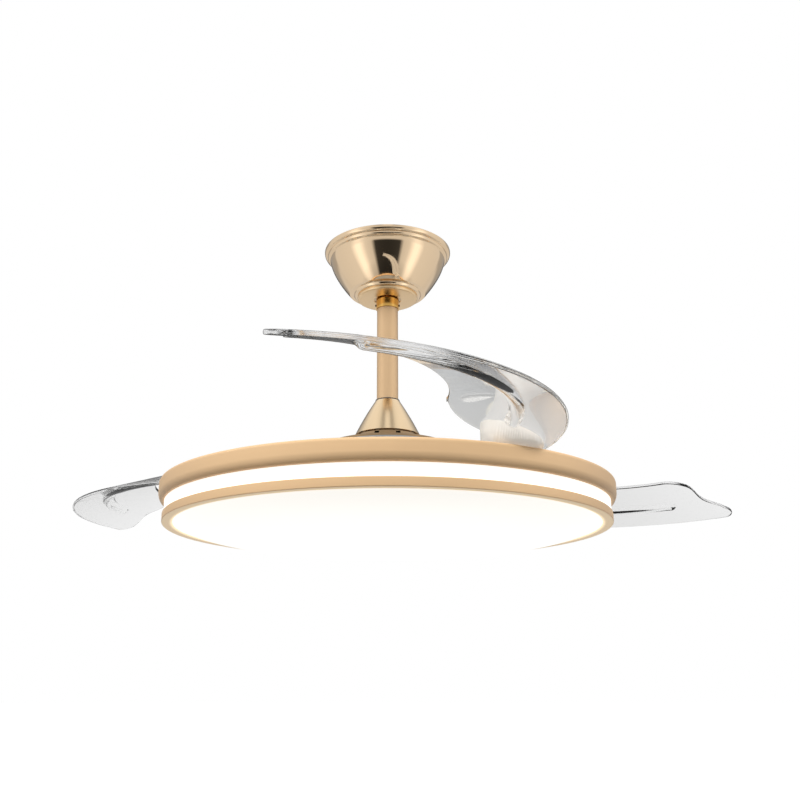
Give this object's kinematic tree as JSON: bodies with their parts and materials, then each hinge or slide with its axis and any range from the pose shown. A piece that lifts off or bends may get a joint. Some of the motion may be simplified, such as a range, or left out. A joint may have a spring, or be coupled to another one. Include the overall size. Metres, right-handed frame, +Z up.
{
  "type": "retractable blade ceiling fan",
  "caption": "Ceiling fan with curved clear blades that swing out of a flat round light, under a short rod and a bowl canopy.",
  "frame": {"origin": "centre of the ceiling bracket's top face, where it meets the ceiling", "axes": "+Z up into the ceiling, the fan hangs along -Z and turns about Z; the picture looks along +Y from below"},
  "size_m": [0.9658, 0.8852, 0.3934],
  "materials": {
    "zinc_steel": "satin",
    "champagne_mirror": "polished",
    "screw_steel": "machined",
    "pale_brass_plate": "satin",
    "white_plastic": "matte",
    "dark_plastic": "matte",
    "champagne_satin": "satin",
    "brass_collar": "polished",
    "black_steel": "satin",
    "cable": "matte",
    "black_rubber": "matte",
    "cast_aluminium": "satin",
    "core_steel": "matte",
    "copper_winding": "enamelled",
    "circuit_board": "matte",
    "white_pan": "white coated",
    "led_board_white": "matte",
    "led_yellow": "matte",
    "champagne_ring": "satin",
    "glowing_acrylic": "satin",
    "nylon": "matte",
    "clear_acrylic": "clear",
    "milky_acrylic": "polished"
  },
  "bodies": {
    "ceiling": {"ceiling_bracket": "zinc_steel", "canopy": "champagne_mirror", "canopy_screws": "screw_steel", "canopy_plate": "pale_brass_plate", "terminal_block": "white_plastic"},
    "hanger": {"hanger_ball": "dark_plastic", "ball_pin": "screw_steel", "downrod": "champagne_satin", "rod_collar": "brass_collar", "collar_screws": "black_steel", "supply_wires": "cable", "rod_seal": "black_rubber", "motor_cone": "champagne_satin", "coupling": "screw_steel", "coupling_bolt": "zinc_steel", "motor_shaft": "zinc_steel", "bearing_inner_races": "screw_steel", "stator_hub": "cast_aluminium", "stator_core": "core_steel", "stator_coils": "copper_winding", "motor_board": "circuit_board", "light_pan": "white_pan", "pan_nut": "zinc_steel", "led_board": "led_board_white", "led_chips": "led_yellow", "led_driver": "white_plastic", "receiver": "white_plastic", "upper_ring": "champagne_ring", "ring_clips": "zinc_steel", "light_band": "glowing_acrylic", "lower_ring": "champagne_ring", "band_screws": "zinc_steel", "diffuser": "glowing_acrylic"},
    "rotor": {"bearing_outer_races": "screw_steel", "bearing_balls": "screw_steel", "rotor_shell": "cast_aluminium", "rotor_magnets": "black_steel", "rotor_top_cover": "cast_aluminium", "rotor_bottom_cover": "cast_aluminium", "vent_ring": "champagne_satin", "rotor_bolts": "zinc_steel", "blade_disc": "cast_aluminium", "pivot_posts": "screw_steel", "pivot_screws": "zinc_steel", "ring_guides": "nylon", "return_springs": "screw_steel", "stop_buffers": "black_rubber"},
    "timing": {"timing_ring": "nylon"},
    "blade_unit_1": {"blade_1": "clear_acrylic", "blade_holder_1": "milky_acrylic", "blade_bush_1": "brass_collar", "blade_screws_1": "zinc_steel"},
    "blade_unit_2": {"blade_2": "clear_acrylic", "blade_holder_2": "milky_acrylic", "blade_bush_2": "brass_collar", "blade_screws_2": "zinc_steel"},
    "blade_unit_3": {"blade_3": "clear_acrylic", "blade_holder_3": "milky_acrylic", "blade_bush_3": "brass_collar", "blade_screws_3": "zinc_steel"}
  },
  "joints": [
    {"name": "hanger_tilt", "type": "hinge", "parent": "ceiling", "child": "hanger", "pos_m": [0, 0, -0.036], "axis": [1, 0, 0], "range_deg": [-3, 3]},
    {"name": "fan_spin", "type": "hinge", "parent": "hanger", "child": "rotor", "pos_m": [0, 0, -0.3], "axis": [0, 0, 1], "continuous": true},
    {"name": "timing_turn", "type": "hinge", "parent": "rotor", "child": "timing", "pos_m": [0, 0, -0.3315], "axis": [0, 0, 1], "range_deg": [0, 10.3]},
    {"name": "blade_1_fold", "type": "hinge", "parent": "rotor", "child": "blade_unit_1", "pos_m": [0.13235, -0.2038, -0.318], "axis": [0, 0, 1], "range_deg": [-73, 0]},
    {"name": "blade_2_fold", "type": "hinge", "parent": "rotor", "child": "blade_unit_2", "pos_m": [0.11032, 0.21651, -0.318], "axis": [0, 0, 1], "range_deg": [-73, 0]},
    {"name": "blade_3_fold", "type": "hinge", "parent": "rotor", "child": "blade_unit_3", "pos_m": [-0.24267, -0.01272, -0.318], "axis": [0, 0, 1], "range_deg": [-73, 0]}
  ],
  "couplings": [
    {"joint": "blade_2_fold", "follows": "blade_1_fold", "ratio": 1},
    {"joint": "blade_3_fold", "follows": "blade_1_fold", "ratio": 1},
    {"joint": "timing_turn", "follows": "blade_1_fold", "ratio": -0.14085}
  ]
}
